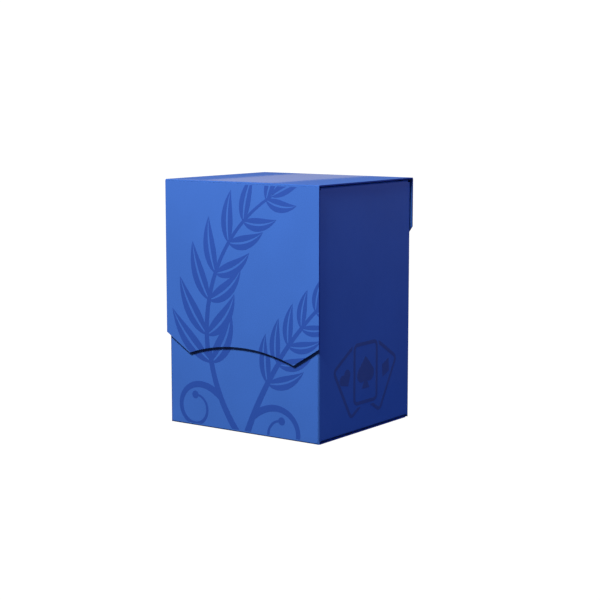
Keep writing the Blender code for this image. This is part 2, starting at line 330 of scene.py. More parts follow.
BODY_FINISH = SheetFinish("body_polypropylene", BODY_BLUE)
LID_FINISH = SheetFinish("lid_polypropylene", BODY_BLUE)
DIVIDER_FINISH = SheetFinish(
    "divider_polypropylene", BODY_BLUE, roughness=0.52, grain=0.16, coat=0.1
)
PRINT_FINISH = SheetFinish("tonal_print", PRINT_BLUE, roughness=0.44, grain=0.08)
EMBLEM_FINISH = SheetFinish("emblem_print", EMBLEM_BLUE, roughness=0.44, grain=0.08)
CUT_EDGE = CutEdgeFinish("die_cut_edge", EDGE_BLUE_AND_SHADE)


# ---- folded sheet ----
@dataclass(frozen=True)
class Station:
    """One place along a folded sheet's outer face, seen end on.

    Attributes:
        along: distance along the face from its start.
        point: where it lies in the fold's plane.
        outward: the face's normal there.
    """

    along: float
    point: Vector
    outward: Vector


@dataclass
class FoldPath:
    """The outer face of a sheet that is folded round convex creases, seen end on.

    Attributes:
        plane: the plane it is seen in.
        corners: its start, its outer corners in turn and its end.
        radius: outer radius of every crease.
        clockwise: True when the outer face is on the left of the path instead of on its right.
        steps: segments in a crease.
        stations: its start, its end and every segment's ends in its creases.
        bends: the distances along it at which each crease starts and ends.
    """

    plane: Plane
    corners: Sequence[Point]
    radius: float
    clockwise: bool = False
    steps: int = 8
    stations: list[Station] = field(init=False)
    bends: list[Point] = field(init=False)

    def __post_init__(self) -> None:
        """Works out the stations along the path, and where each crease starts and ends."""
        points = [Vector(corner) for corner in self.corners]
        self.stations, self.bends = [], []
        along, here = 0.0, points[0]
        heading = (points[1] - points[0]).normalized()
        self.stations.append(Station(along, here, self._outward(heading)))
        for corner, after in zip(points[1:-1], points[2:]):
            turned = (after - corner).normalized()
            reach = self.radius * tan(heading.angle(turned) / 2)
            enter = corner - heading * reach
            along += (enter - here).length
            centre = enter - self._outward(heading) * self.radius
            first = self._outward(heading)
            angle = heading.angle_signed(turned)  # positive for a clockwise turn
            start = along
            for step in range(self.steps + 1):
                outward = first.copy()
                outward.rotate(Matrix.Rotation(-angle * step / self.steps, 2))
                place = start + abs(angle) * self.radius * step / self.steps
                self.stations.append(Station(place, centre + outward * self.radius, outward))
            along = start + abs(angle) * self.radius
            self.bends.append((start, along))
            here, heading = corner + turned * reach, turned
        along += (points[-1] - here).length
        self.stations.append(Station(along, points[-1], self._outward(heading)))

    def _outward(self, heading: Vector) -> Vector:
        """The outer side of a heading."""
        right = Vector((heading.y, -heading.x))
        return -right if self.clockwise else right

    @property
    def length(self) -> float:
        """The whole length of the outer face."""
        return self.stations[-1].along

    def crease_lines(self) -> list[float]:
        """The distances along the sheet at which it has to have an edge, to bend."""
        return [station.along for station in self.stations[1:-1]]

    def crease_share(self, along: float) -> float:
        """1 inside a crease and 0 on the flats."""
        return float(any(start + TOUCH < along < end - TOUCH for start, end in self.bends))

    def fold(self, along: float, across: float, depth: float) -> Vector:
        """Folds one point of the flat sheet.

        Args:
            along: its distance along the sheet.
            across: its place across the sheet.
            depth: how far it lies under the outer face.

        Returns:
            The point in space.
        """
        places = [station.along for station in self.stations]
        index = min(max(bisect_right(places, along + AHEAD) - 1, 0), len(places) - 2)
        before, after = self.stations[index], self.stations[index + 1]
        share = (along - before.along) / (after.along - before.along)
        outward = before.outward.lerp(after.outward, share)
        seen = before.point.lerp(after.point, share) - outward * depth
        first, second, third = self.plane.value
        place = Vector((0.0, 0.0, 0.0))
        place[first], place[second], place[third] = seen.x, seen.y, across
        return place


def arc(centre: Point, radius: float, start: float, end: float, steps: int) -> list[Point]:
    """Points on a circle, from one angle in radians to another, at the ends of its segments."""
    angles = [start + (end - start) * i / steps for i in range(steps + 1)]
    return [(centre[0] + radius * cos(a), centre[1] + radius * sin(a)) for a in angles]


def rounded(corners: Sequence[tuple[float, float, float]], steps: int = 6) -> list[Point]:
    """An outline whose corners are rounded.

    Args:
        corners: each corner's two coordinates and its radius, or 0 to leave it sharp.
        steps: segments in a rounded corner.

    Returns:
        The outline's points in order.
    """
    outline: list[Point] = []
    count = len(corners)
    for i, (u, v, radius) in enumerate(corners):
        if radius <= 0:
            outline.append((u, v))
            continue
        corner = Vector((u, v))
        back = (Vector(corners[i - 1][:2]) - corner).normalized()
        forth = (Vector(corners[(i + 1) % count][:2]) - corner).normalized()
        half = back.angle(forth) / 2
        centre = corner + (back + forth).normalized() * (radius / sin(half))
        first, last = (corner + way * (radius / tan(half)) - centre for way in (back, forth))
        start = atan2(first.y, first.x)
        turn = (atan2(last.y, last.x) - start + pi) % (2 * pi) - pi
        outline += arc(tuple(centre), radius, start, start + turn, steps)
    return outline


def mirrored(one_side: Sequence[Point]) -> list[Point]:
    """An outline made of one edge and its mirror image across the sheet."""
    return [*one_side, *((along, -across) for along, across in reversed(one_side))]


def triangles_in(
    shapes: Sequence[Sequence[Point]], lines: Sequence[tuple[Point, Point]] = ()
) -> tuple[list[Vector], list[tuple[list[int], list[int]]]]:
    """Splits a plane by outlines and lines.

    Args:
        shapes: closed outlines, which may overlap and may turn either way.
        lines: extra edges to keep.

    Returns:
        The points, and for each triangle its corners and the numbers of the shapes it lies in.
    """
    points: list[Vector] = []
    faces: list[list[int]] = []
    edges: list[tuple[int, int]] = []
    for shape in shapes:
        turned = sum(a[0] * b[1] - b[0] * a[1] for a, b in zip(shape, [*shape[1:], shape[0]]))
        faces.append(list(range(len(points), len(points) + len(shape))))
        points += [Vector(p) for p in (shape if turned > 0 else shape[::-1])]
    for start, end in lines:
        edges.append((len(points), len(points) + 1))
        points += [Vector(start), Vector(end)]
    scale = 1 / MM
    points = [p * scale for p in points]
    flat, _, cells, _, _, lying_in = delaunay_2d_cdt(points, edges, faces, 0, MERGE, True)
    found = [(list(corners), list(inside)) for corners, inside in zip(cells, lying_in) if inside]
    return [p / scale for p in flat], found


def finish_mesh(
    name: str, mesh: bpy.types.Mesh, materials: Sequence[bpy.types.Material]
) -> Piece:
    """Makes a mesh into a piece with even normals over its flats and creases.

    Args:
        name: the piece's name.
        mesh: its mesh.
        materials: its materials in order.

    Returns:
        The piece.
    """
    mesh.name = name
    mesh.shade_smooth()
    mesh.set_sharp_from_angle(angle=SHARP_EDGE)
    for material in materials:
        mesh.materials.append(material)
    piece = bpy.data.objects.new(name, mesh)
    bpy.context.scene.collection.objects.link(piece)
    even = piece.modifiers.new("even_normals", "WEIGHTED_NORMAL")
    even.keep_sharp = True
    even.weight = EVENNESS
    return piece


def closed_sheet(
    points: Sequence[Vector],
    triangles: Sequence[Sequence[int]],
    place: Placer,
    outer: float,
    inner: float,
) -> bpy.types.Mesh:
    """Gives flat triangles a thickness, and folds or places them.

    Args:
        points: the flat points.
        triangles: the corners of each triangle, all turning the same way.
        place: puts a flat point at a depth into space.
        outer: the depth of the outer face.
        inner: the depth of the inner face.

    Returns:
        A closed mesh, with one material number for its two faces and one for its rim.
    """
    work = bmesh.new()
    flat = work.loops.layers.uv.new(PATTERN_MAP)
    used = sorted({i for corners in triangles for i in corners})
    top, under = (
        {i: work.verts.new(place(points[i].x, points[i].y, depth)) for i in used}
        for depth in (outer, inner)
    )
    sides = dict.fromkeys(
        side for corners in triangles for side in zip(corners, [*corners[1:], corners[0]])
    )
    rows = [(top, list(corners)) for corners in triangles]
    rows += [(under, list(corners)[::-1]) for corners in triangles]
    for verts, corners in rows:
        face = work.faces.new([verts[i] for i in corners])
        face.material_index = FACES
        for loop, i in zip(face.loops, corners):
            loop[flat].uv = points[i]
    thickness = inner - outer
    for a, b in sides:
        if (b, a) in sides:
            continue
        face = work.faces.new([top[b], top[a], under[a], under[b]])
        face.material_index = RIM
        run = (points[b] - points[a]).length
        for loop, uv in zip(face.loops, ((run, 0), (0, 0), (0, thickness), (run, thickness))):
            loop[flat].uv = Vector(uv) + points[a]
    bmesh.ops.recalc_face_normals(work, faces=work.faces)
    mesh = bpy.data.meshes.new("sheet")
    work.to_mesh(mesh)
    work.free()
    return mesh


def folded_piece(
    name: str,
    path: FoldPath,
    outline: Sequence[Point],
    thickness: float,
    finish: SheetFinish,
    recess: float = PRINT_RECESS,
) -> Piece:
    """Cuts a sheet flat, and folds it.

    Args:
        name: the piece's name.
        path: the fold that it follows.
        outline: its cut outline, along and across the sheet.
        thickness: the depth of its inner face under the path.
        finish: the finish of its faces.
        recess: the depth of its outer face under the path.

    Returns:
        The folded piece.
    """
    low = min(v for _, v in outline) - MM
    high = max(v for _, v in outline) + MM
    lines = [((along, low), (along, high)) for along in path.crease_lines()]
    points, found = triangles_in([outline], lines)
    triangles = [corners for corners, _ in found]
    mesh = closed_sheet(points, triangles, path.fold, recess, thickness)
    # the crease mask, which the finish uses to paint shade into the creases
    creased = mesh.attributes.new(CREASE_MASK, "FLOAT", "POINT").data
    pattern = mesh.uv_layers[PATTERN_MAP].data
    for face in mesh.polygons:
        for loop in face.loop_indices if face.material_index == FACES else ():
            share = path.crease_share(pattern[loop].uv.x)
            creased[mesh.loops[loop].vertex_index].value = share
    return finish_mesh(name, mesh, [finish.make(), CUT_EDGE.make()])


# ---- sizes read from the frame ----
@dataclass(frozen=True)
class BoxSizes:
    """Where the folded sheets lie, read from the frame's own nodes.

    Attributes:
        side: outer face of the right side panel.
        front: outer face of the front panel.
        back: outer face of the back panel.
        glue: outer face of the seam's glue flap.
        top: top edge of the front panel.
        sheet: thickness of the body sheet.
        floor: underside of the bottom dust flaps.
        strap: half the width of the lid strap.
        strap_front: outer face of the front flap.
        strap_back: outer face of the lid's back panel.
        strap_top: upper face of the lid.
        bend: outer radius of every crease.
        gap: space between surfaces that touch.
    """

    side: float
    front: float
    back: float
    glue: float
    top: float
    sheet: float
    floor: float
    strap: float
    strap_front: float
    strap_back: float
    strap_top: float
    bend: float
    gap: float = 0.3 * MM

    @classmethod
    def from_frame(cls) -> "BoxSizes":
        """Reads the sizes.

        Returns:
            The sizes of this box.
        """
        right, front, back = (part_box(n) for n in ("right_side_panel", "front_panel", "back_panel"))
        seam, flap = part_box("seam_glue_flap"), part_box("bottom_dust_flap_right")
        lid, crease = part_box("lid_top_panel"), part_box("front_right_crease")
        return cls(
            side=right[1][0],
            front=front[0][1],
            back=back[1][1],
            glue=seam[1][1],
            top=front[1][2],
            sheet=front[1][1] - front[0][1],
            floor=flap[0][2],
            strap=lid[1][0],
            strap_front=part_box("lid_front_flap")[0][1],
            strap_back=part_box("lid_back_panel")[1][1],
            strap_top=lid[1][2],
            bend=crease[1][0] - crease[0][0],
        )

    @property
    def reach(self) -> float:
        """From a folded edge to where the flat panel's own node starts."""
        return self.bend + self.gap

    @property
    def flat_side(self) -> float:
        """Half the width of the flat front panel."""
        return self.side - self.reach

    @property
    def fold_front(self) -> float:
        """Where a side panel's top and bottom folds start."""
        return self.front + self.reach

    @property
    def fold_rear(self) -> float:
        """Where a side panel's top and bottom folds end."""
        return self.glue - self.reach


# ---- body ----
@dataclass
class BodySheet:
    """The one sheet that makes the walls, the floor and the inner flaps.

    Attributes:
        sizes: where the box's sheets lie.
        notch_radius: the half-round thumb notch in the front panel's top edge.
        glue_chamfer: cut off the free corners of the glue flaps.
        flap_corner: radius of a dust flap's free corners.
        flap_front_taper: how far a dust flap narrows at the front, and a bottom one at the rear.
        rear_slope: of a top dust flap's rear edge, so that the lid swings clear of the flap.
        corner_low: how high above the table the upright creases end.
        notch_steps: segments in the notch.
    """

    sizes: BoxSizes
    notch_radius: float = 11.0 * MM
    glue_chamfer: float = 3.0 * MM
    flap_corner: float = 4.0 * MM
    flap_front_taper: float = 3.0 * MM
    rear_slope: float = 0.62
    corner_low: float = 0.15 * MM
    notch_steps: int = 32

    def build(self) -> None:
        """Builds and dresses every part of the sheet."""
        self.build_walls()
        self.build_bottom()
        for side in Side:
            for edge in Edge:
                self.build_dust_flap(side, edge)

    def build_walls(self) -> None:
        """Builds the four walls and the seam's glue flap as one folded sheet."""
        z = self.sizes
        seam_low, seam_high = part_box("seam_glue_flap")
        corners = [(seam_high[0], z.glue), (-z.side, z.glue), (-z.side, z.front)]
        corners += [(z.side, z.front), (z.side, z.back), (-z.side, z.back)]
        path = FoldPath(Plane.PLAN, corners, z.bend)
        outline = self.wall_outline(path, seam_low[2])
        walls = folded_piece("body_walls", path, outline, z.sheet, BODY_FINISH)
        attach(walls, "box_body")
        nodes = ["front_panel", "back_panel", "left_side_panel", "right_side_panel", "seam_glue_flap"]
        nodes += ["front_left_crease", "front_right_crease", "back_right_crease", "seam_crease"]
        self.dress(walls, *nodes)

    def wall_outline(self, path: FoldPath, seam_low: float) -> list[Point]:
        """The cut outline of the walls.

        Args:
            path: the fold round the walls.
            seam_low: the lower edge of the seam's glue flap.

        Returns:
            The outline, along the sheet and up it.
        """
        z, gap, cut, low = self.sizes, self.sizes.gap, self.glue_chamfer, self.corner_low
        seam, left, right, rear = path.bends
        fold_low, fold_high = z.floor + z.bend + LAP, z.top - z.bend - LAP
        crease_high = z.top - z.reach
        run = z.fold_rear - z.fold_front
        left_run = (seam[1] + gap, seam[1] + gap + run)
        right_run = (right[1] + gap, right[1] + gap + run)
        middle = (left[1] + right[0]) / 2
        notch = arc((middle, z.top), self.notch_radius, 0.0, -pi, self.notch_steps)

        def step(start: float, end: float, level: float, beyond: float) -> list[Point]:
            """A square step in the edge, from one height to another and back."""
            return [(start, level), (start, beyond), (end, beyond), (end, level)]

        return [
            (0.0, seam_low + cut),
            (cut, seam_low),
            (seam[0] - gap, seam_low),
            (seam[0] - gap, z.floor),
            *step(*left_run, z.floor, fold_low),
            *step(*left, z.floor, low),
            *step(left[1] + gap, right[0] - gap, z.floor, z.bend + LAP),
            *step(*right, z.floor, low),
            *step(*right_run, z.floor, fold_low),
            (rear[0], z.floor),
            (rear[0], low),
            (rear[1] + gap, low),
            (rear[1] + gap, 0.0),
            (path.length, 0.0),
            (path.length, z.top),
            (rear[1] + gap, z.top),
            (rear[1] + gap, crease_high),
            *step(*right_run[::-1], crease_high, fold_high),
            (right[0] - gap, crease_high),
            (right[0] - gap, z.top),
            *notch,
            (left[1] + gap, z.top),
            (left[1] + gap, crease_high),
            *step(*left_run[::-1], crease_high, fold_high),
            (cut, crease_high),
            (0.0, crease_high - cut),
        ]

    def build_bottom(self) -> None:
        """Builds the front panel's lower edge, the bottom and its glue flap as one folded sheet."""
        z, cut = self.sizes, self.glue_chamfer
        glue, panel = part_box("bottom_glue_flap"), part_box("bottom_panel")
        path = FoldPath(
            Plane.SIDE,
            [(z.front, z.bend + LAP), (z.front, 0.0), (z.glue, 0.0), (z.glue, glue[1][2])],
            z.bend,
        )
        (_, front), (rear, _) = path.bends
        half, wide, narrow, gap = z.flat_side, panel[1][0], glue[1][0], z.gap
        end = path.length
        one_side = [
            (0.0, half),
            (front + gap, half),
            (front + gap, wide),
            (rear - gap, wide),
            (rear - gap, narrow),
            (end - cut, narrow),
            (end, narrow - cut),
        ]
        bottom = folded_piece("body_floor", path, mirrored(one_side), z.sheet, BODY_FINISH)
        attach(bottom, "box_body")
        nodes = ["bottom_panel", "bottom_front_crease", "bottom_rear_crease", "bottom_glue_flap"]
        self.dress(bottom, *nodes)

    def build_dust_flap(self, side: Side, edge: Edge) -> None:
        """Builds a dust flap and its crease, which bends if the flap is a top one.

        Args:
            side: which side of the box.
            edge: which edge of the side panel.
        """
        z, sign, inward, top = self.sizes, side.value, edge.value, edge is Edge.TOP
        where = edge.name.lower()
        name = f"{where}_dust_flap_{side.label}"
        free = min(abs(corner[0]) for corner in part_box(name))
        level = z.top if top else z.floor
        panel = level + inward * z.bend + inward * LAP
        folds = [(sign * z.side, panel), (sign * z.side, level), (sign * free, level)]
        path = FoldPath(Plane.FRONT, folds, z.bend, clockwise=top != (side is Side.RIGHT))
        start, end = path.bends[0][1] + z.gap, path.length
        taper = (end - start) * self.rear_slope if top else self.flap_front_taper
        front, rear, corner = z.fold_front, z.fold_rear, self.flap_corner
        corners = [(0.0, front, 0.0), (start, front, 0.0)]
        corners += [(end, front + self.flap_front_taper, corner), (end, rear - taper, corner)]
        corners += [(start, rear, 0.0), (0.0, rear, 0.0)]
        flap = folded_piece(name + "_sheet", path, rounded(corners), z.sheet, BODY_FINISH)
        if top:
            hinge = sign * z.side
            bend = {"start": (hinge, 0.0, z.top - z.bend), "end": (hinge - sign * z.bend, 0.0, z.top)}
            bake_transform(flap, "box_body", "dust_flap_" + side.label, **bend)
        else:
            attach(flap, "box_body")
        self.dress(flap, name, f"{where}_crease_{side.label}")

    def dress(self, piece: Piece, *nodes: str) -> None:
        """Hides the CAD nodes that a piece stands for."""
        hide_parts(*nodes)


# ---- lid ----
@dataclass
class LidStrap:
    """The wider strap: a back panel fixed to the body, the top, and the long front flap.

    Attributes:
        sizes: where the box's sheets lie.
        back_side: height at which the back panel's side edges end.
        back_chamfer: how far in its lower corners are cut.
        flap_side: height at which the front flap's side edges end.
        tip_spread: from the middle to each of the flap's two tips.
        arch_rise: how far the arch between the tips rises.
        arch_steps: segments in the arch.
    """

    sizes: BoxSizes
    back_side: float = 78.2 * MM
    back_chamfer: float = 4.1 * MM
    flap_side: float = 36.8 * MM
    tip_spread: float = 25.4 * MM
    arch_rise: float = 4.4 * MM
    arch_steps: int = 48

    def build(self) -> None:
        """Builds and dresses the strap."""
        self.build_top()
        self.build_flap()

    def build_top(self) -> None:
        """Builds the back panel, its crease and the top as one folded sheet."""
        z = self.sizes
        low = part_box("lid_back_panel")[0][2]
        front = z.strap_front + z.bend + LAP
        corners = [(z.strap_back, low), (z.strap_back, z.strap_top), (front, z.strap_top)]
        path = FoldPath(Plane.SIDE, corners, z.bend)
        half, shoulder = z.strap, self.back_side - low
        one_side = [(0.0, half - self.back_chamfer), (shoulder, half), (path.length, half)]
        top = folded_piece("lid_top_sheet", path, mirrored(one_side), z.sheet, LID_FINISH)
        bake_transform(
            top,
            "box_body",
            "lid_top",
            start=(0.0, z.strap_back, z.strap_top - z.bend),
            end=(0.0, z.strap_back - z.bend, z.strap_top),
        )
        self.dress(top, "lid_back_panel", "lid_back_crease", "lid_top_panel")

    def flap_outline(self) -> list[Point]:
        """The front flap's outer edge, from its top right corner round to its top left.

        Returns:
            The edge's points as x and z.
        """
        z = self.sizes
        tip_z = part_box("lid_front_flap")[0][2]
        tip, rise = self.tip_spread, self.arch_rise
        radius = (tip**2 + rise**2) / (2 * rise)
        centre = (0.0, tip_z + rise - radius)
        first = atan2(sqrt(radius**2 - tip**2), tip)
        arch = arc(centre, radius, first, pi - first, self.arch_steps)
        crease = z.strap_top - z.bend
        right = [(z.strap, crease), (z.strap, self.flap_side)]
        return right + arch + [(-z.strap, self.flap_side), (-z.strap, crease)]

    def build_flap(self) -> None:
        """Builds the front crease and the front flap as one folded sheet."""
        z = self.sizes
        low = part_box("lid_front_flap")[0][2]
        start = z.strap_front + z.bend + LAP
        corners = [(start, z.strap_top), (z.strap_front, z.strap_top), (z.strap_front, low)]
        path = FoldPath(Plane.SIDE, corners, z.bend)
        crease_end = path.bends[0][1]
        drop = z.strap_top - z.bend
        edge = [(crease_end + drop - height, x) for x, height in self.flap_outline()]
        outline = [(0.0, z.strap), *edge, (0.0, -z.strap)]
        flap = folded_piece("lid_flap_sheet", path, outline, z.sheet, LID_FINISH)
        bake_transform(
            flap,
            "lid_top",
            "lid_flap",
            start=(0.0, z.strap_front + z.bend, z.strap_top),
            end=(0.0, z.strap_front, z.strap_top - z.bend),
        )
        self.dress(flap, "lid_front_crease", "lid_front_flap")

    def dress(self, piece: Piece, *nodes: str) -> None:
        """Hides the CAD nodes that a piece stands for."""
        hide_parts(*nodes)


# ---- divider ----
@dataclass
class CardDivider:
    """The loose divider with its index tab.

    Attributes:
        sheet: its thickness.
        corner: radius of its corners.
        tab_inset: from its left edge to the tab.
        tab_width: the tab's width.
        tab_height: how far the tab stands up.
    """

    sheet: float = 0.6 * MM
    corner: float = 2.0 * MM
    tab_inset: float = 5.0 * MM
    tab_width: float = 22.0 * MM
    tab_height: float = 5.0 * MM

    def build(self) -> None:
        """Builds and dresses the divider."""
        low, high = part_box("card_divider")
        half, shoulder, r = high[0], high[2] - self.tab_height, self.corner
        left = -half + self.tab_inset
        right = left + self.tab_width
        corners = [(-half, low[2], r), (half, low[2], r), (half, shoulder, r)]
        corners += [(right, shoulder, r), (right, high[2], r), (left, high[2], r)]
        corners += [(left, shoulder, r), (-half, shoulder, r)]
        outline = [(v - low[2], u) for u, v in rounded(corners)]
        path = FoldPath(Plane.SIDE, [(low[1], low[2]), (low[1], high[2])], 0.0, clockwise=True)
        divider = folded_piece(
            "divider_sheet_piece", path, outline, self.sheet, DIVIDER_FINISH, recess=0.0
        )
        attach(divider, "divider")
        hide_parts("card_divider")


# ---- prints ----
@dataclass(frozen=True)
class Shape:
    """One closed outline of a print.

    Attributes:
        outline: its points.
        ink: whether it lays ink or clears it.
    """

    outline: Sequence[Point]
    ink: Ink = Ink.LAID


@dataclass(frozen=True)
class Growth:
    """A line that grows from a point and bends evenly, or ever faster, as a plant's does.

    Attributes:
        x: where it starts, in millimetres.
        y: its height there.
        heading: the direction that it sets out in, in degrees.
        length: how long it is, in millimetres.
        turn: how far it turns on the way, in degrees; above 0 it turns left.
        tighten: above 1, the turn comes more and more towards the end.
        steps: how many segments it has.
    """

    x: float
    y: float
    heading: float
    length: float
    turn: float
    tighten: float = 1.0
    steps: int = 40

    def heading_at(self, share: float) -> float:
        """The direction, in degrees, at a share of the length."""
        return self.heading + self.turn * share**self.tighten

    def line(self) -> list[Vector]:
        """Follows the growth.

        Returns:
            The points along it, in metres.
        """
        made = [Vector((self.x, self.y)) * MM]
        step = self.length / self.steps * MM
        for i in range(self.steps):
            angle = radians(self.heading_at((i + 0.5) / self.steps))
            made.append(made[-1] + Vector((cos(angle), sin(angle))) * step)
        return made


def stroke(line: Sequence[Vector], width: Callable[[float], float]) -> list[Point]:
    """The outline of a line drawn with a changing width.

    Args:
        line: the points along it.
        width: the half width, in millimetres, at each share of the line's length.

    Returns:
        The closed outline.
    """
    last = len(line) - 1
    left: list[Point] = []
    right: list[Point] = []
    for i, point in enumerate(line):
        heading = (line[min(i + 1, last)] - line[max(i - 1, 0)]).normalized()
        across = Vector((-heading.y, heading.x)) * (width(i / last) * MM)
        left.append(tuple(point + across))
        right.append(tuple(point - across))
    outline: list[Point] = []
    for point in left + right[::-1]:
        if not outline or (Vector(point) - Vector(outline[-1])).length > SHORTEST:
            outline.append(point)
    if (Vector(outline[0]) - Vector(outline[-1])).length < SHORTEST:
        outline.pop()
    return outline


LEAF_FULLEST = 0.4  # the share of a leaf's length at which it is widest
LEAF_ROUNDNESS = 0.9  # below 1, a leaf is fuller than a sine curve
MIDRIB = 0.16  # a midrib's width, against its leaf's


def leaf(growth: Growth, half: float) -> list[Point]:
    """A leaf with two pointed ends, and half its greatest width, in millimetres, to each side."""
    power = log(0.5) / log(LEAF_FULLEST)
    return stroke(growth.line(), lambda t: half * max(0.0, sin(pi * t**power)) ** LEAF_ROUNDNESS)


def veined_leaf(growth: Growth, half: float) -> list[Shape]:
    """A leaf, and its midrib, which is cleared."""
    return [Shape(leaf(growth, half)), Shape(leaf(growth, half * MIDRIB), Ink.CLEARED)]


def disc(x: float, y: float, radius: float) -> list[Point]:
    """A round dot about a point in millimetres."""
    return [((x + u) * MM, (y + v) * MM) for u, v in arc((0.0, 0.0), radius, 0.0, 2 * pi, 24)[:-1]]


@dataclass(frozen=True)
class Print:
    """A print of one ink, laid as a thin film on the outer face of a flat panel.

    Attributes:
        name: the piece's name.
        shapes: its shapes, in the order in which they are drawn.
        border: the outline that it is cut to.
        place: puts a flat point at a depth under the panel's outer face into space.
        finish: the ink's finish.
        body: the CAD body that it rides on.
        slot: the material slot that it belongs to; not used.
        film: how far the ink stands up; it starts half as far under the panel's face.
    """

    name: str
    shapes: Sequence[Shape]
    border: Sequence[Point]
    place: Placer
    finish: SheetFinish
    body: str
    slot: str
    film: float = 0.02 * MM

    def build(self) -> None:
        """Builds and dresses the print."""
        points, found = triangles_in([self.border, *(shape.outline for shape in self.shapes)])
        inked = []
        for corners, inside in found:
            drawn = [number for number in inside if number > 0]
            if 0 in inside and drawn and self.shapes[max(drawn) - 1].ink is Ink.LAID:
                inked.append(corners)
        mesh = closed_sheet(points, inked, self.place, -self.film, self.film / 2)
        material = self.finish.make()
        piece = finish_mesh(self.name, mesh, [material, material])
        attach(piece, self.body)


@dataclass(frozen=True)
class Bough:
    """A leafy stem with one tendril that curls up into a bud.

    Attributes:
        stem: its middle line.
        pairs: how many pairs of leaves it has.
        first_pair: the share of the stem's length at which they begin.
        leaf_length: the length that a leaf at the foot would have, in millimetres.
        leaf_half: half that leaf's width.
        inner_leaf: how long the leaves are inside the stem's bend, against those outside it.
        tendril_at: the share of the stem's length at which the tendril leaves it.
        tendril_length: how long the tendril is, in millimetres.
        tendril_side: 1 if the tendril leaves to the left, -1 to the right.
        half: half the stem's width at its foot.
        last_pair: the share of the stem's length at which the leaves' pairs end.
        outer_set: the angle at which leaves outside the bend leave the stem, and how far they turn.
        inner_set: the same for leaves inside the bend.
        curl: the angle at which the tendril leaves the stem, how far it turns, and how much faster
            it does so towards its end.
        bud: the bud's radius.
    """

    stem: Growth
    pairs: int
    first_pair: float
    leaf_length: float
    leaf_half: float
    inner_leaf: float
    tendril_at: float
    tendril_length: float
    tendril_side: int
    half: float = 1.5
    last_pair: float = 0.97
    outer_set: Point = (46.0, 30.0)
    inner_set: Point = (62.0, 46.0)
    curl: Place = (30.0, 400.0, 1.5)
    bud: float = 1.6

    def start(self, share: float) -> Point:
        """The point, in millimetres, at a share of the stem's length."""
        return tuple(self.stem.line()[round(share * self.stem.steps)] / MM)

    def leaves(self) -> list[Shape]:
        """The pairs of leaves, which are shorter and narrower towards the tip, and a tip leaf.

        Returns:
            The leaves' shapes in drawing order.
        """
        shapes: list[Shape] = []
        for pair in range(self.pairs):
            share = self.first_pair + (self.last_pair - self.first_pair) * pair / (self.pairs - 1)
            heading = self.stem.heading_at(share)
            length, half = self.leaf_length * (1 - 0.5 * share), self.leaf_half * (1 - 0.4 * share)
            for side in (1, -1):
                outside = side * self.stem.turn < 0
                spread, bend = self.outer_set if outside else self.inner_set
                reach = length if outside else length * self.inner_leaf
                growth = Growth(*self.start(share), heading + side * spread, reach, -side * bend)
                shapes += veined_leaf(growth, half)
        tip = Growth(*self.start(1.0), self.stem.heading_at(1.0), self.leaf_length * 0.5, -10.0)
        return shapes + veined_leaf(tip, self.leaf_half * 0.6)

    def shapes(self) -> list[Shape]:
        """The whole bough; its stem and its tendril thin out to about a third.

        Returns:
            Its shapes in drawing order.
        """
        leave, turn, tighten = self.curl
        foot, side = self.start(self.tendril_at), self.tendril_side
        heading = self.stem.heading_at(self.tendril_at) + leave * side
        tendril = Growth(*foot, heading, self.tendril_length, turn * side, tighten, steps=72).line()
        end = tendril[-1] / MM
        return [
            Shape(stroke(tendril, lambda t: self.half * (1 - 0.72 * t))),
            Shape(disc(end.x, end.y, self.bud)),
            *self.leaves(),
            Shape(stroke(self.stem.line(), lambda t: self.half * (1 - 0.66 * t))),
        ]


TALL_BOUGH = Bough(
    Growth(0.0, -3.0, heading=133.0, length=112.0, turn=-104.0),
    pairs=7,
    first_pair=0.30,
    leaf_length=33.0,
    leaf_half=4.0,
    inner_leaf=0.86,
    tendril_at=0.17,
    tendril_length=56.0,
    tendril_side=1,
)
SHORT_BOUGH = Bough(
    Growth(1.0, -3.0, heading=70.0, length=76.0, turn=-30.0),
    pairs=6,
    first_pair=0.36,
    leaf_length=24.0,
    leaf_half=3.1,
    inner_leaf=0.95,
    tendril_at=0.16,
    tendril_length=60.0,
    tendril_side=-1,
)


def pip(suit: Suit) -> list[list[Point]]:
    """One card suit's mark about its own centre, in units of half its height.

    Args:
        suit: which mark.

    Returns:
        The closed outlines that make it.
    """
    if suit is Suit.DIAMOND:
        return [[(0, 1), (0.72, 0), (0, -1), (-0.72, 0)]]
    up = suit.value
    outline: list[Point] = [(0.0, up * 1.0)]
    outline += arc((0.43, min(0.0, -0.1 * up)), 0.5, up * 0.55, -up * 2.6, 18)
    outline += [(-u, v) for u, v in reversed(outline[1:])]
    foot = [(0, -0.2), (0.42, -1), (-0.42, -1)]
    return [outline, foot] if suit is Suit.SPADE else [outline]


